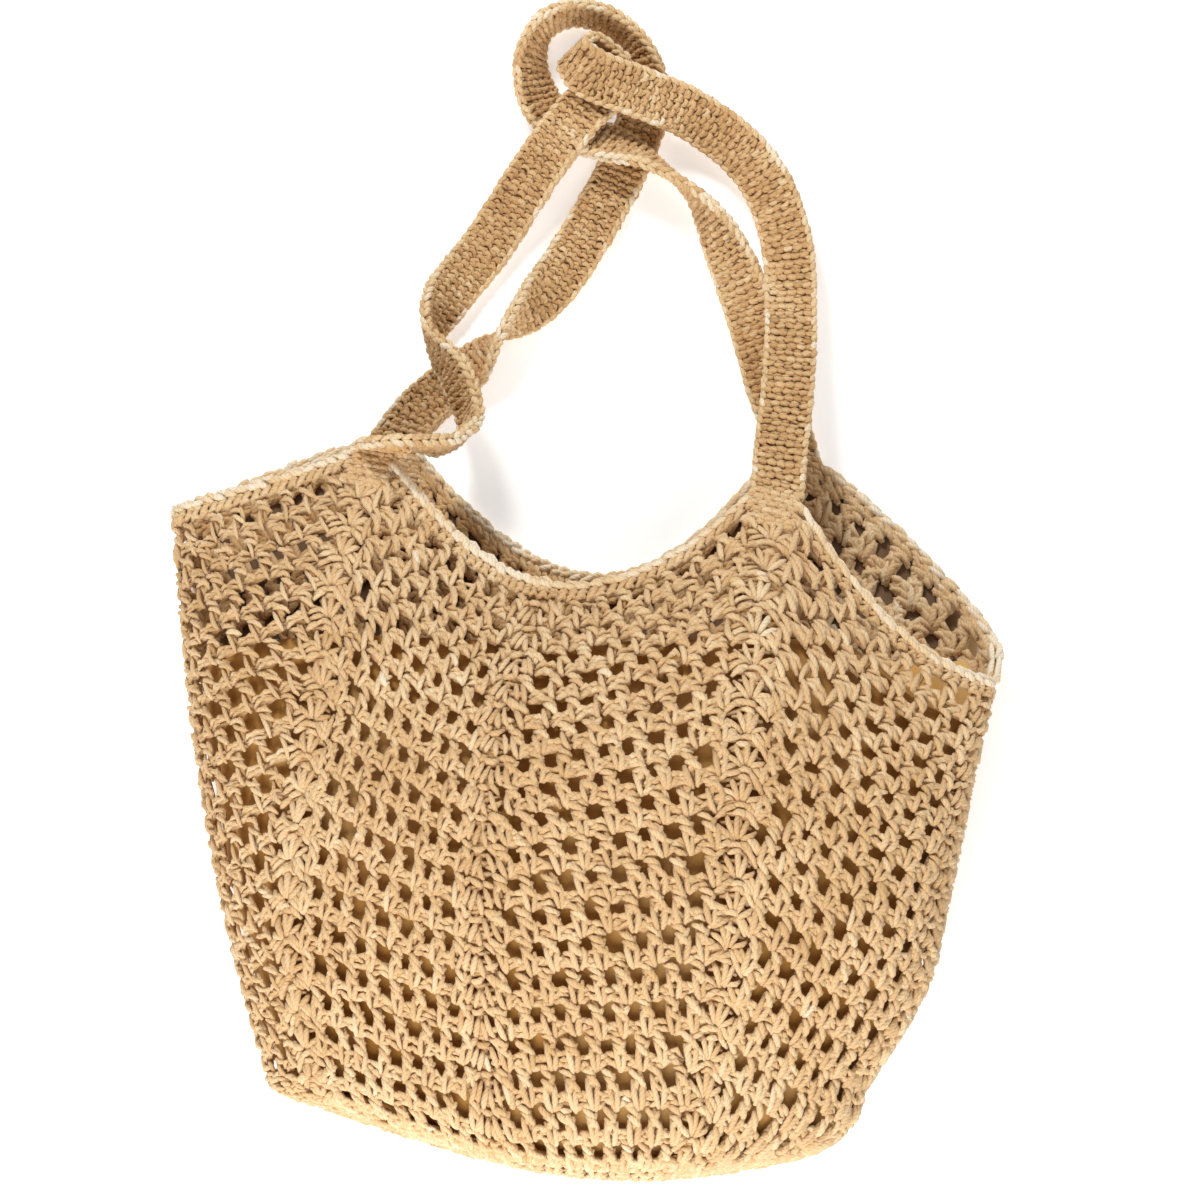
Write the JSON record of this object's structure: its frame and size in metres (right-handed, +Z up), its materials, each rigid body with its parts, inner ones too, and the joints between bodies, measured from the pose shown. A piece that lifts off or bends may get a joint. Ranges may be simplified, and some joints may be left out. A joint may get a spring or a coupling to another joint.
{
  "type": "mesh beach tote",
  "caption": "Crocheted cotton net tote lying on its back, with a scooped rim, long looped straps and a plain cloth liner, for carrying towels and shopping",
  "frame": {"origin": "on the floor under the middle of the box round the lying bag and its straps", "axes": "+Z up from the floor, +Y from the closed end towards the mouth and straps, +X to the right seen from above"},
  "size_m": [0.3994, 0.5888, 0.0888],
  "materials": {
    "cotton_net": "twisted cream cotton yarn, crocheted open",
    "cotton_strap": "twisted cream cotton yarn, crocheted close",
    "liner_cloth": "plain woven tan cotton cloth"
  },
  "bodies": {
    "root": {"mesh_body": "cotton_net", "rim_band": "cotton_net", "strap_front": "cotton_strap", "strap_back": "cotton_strap", "liner": "liner_cloth"}
  },
  "joints": []
}
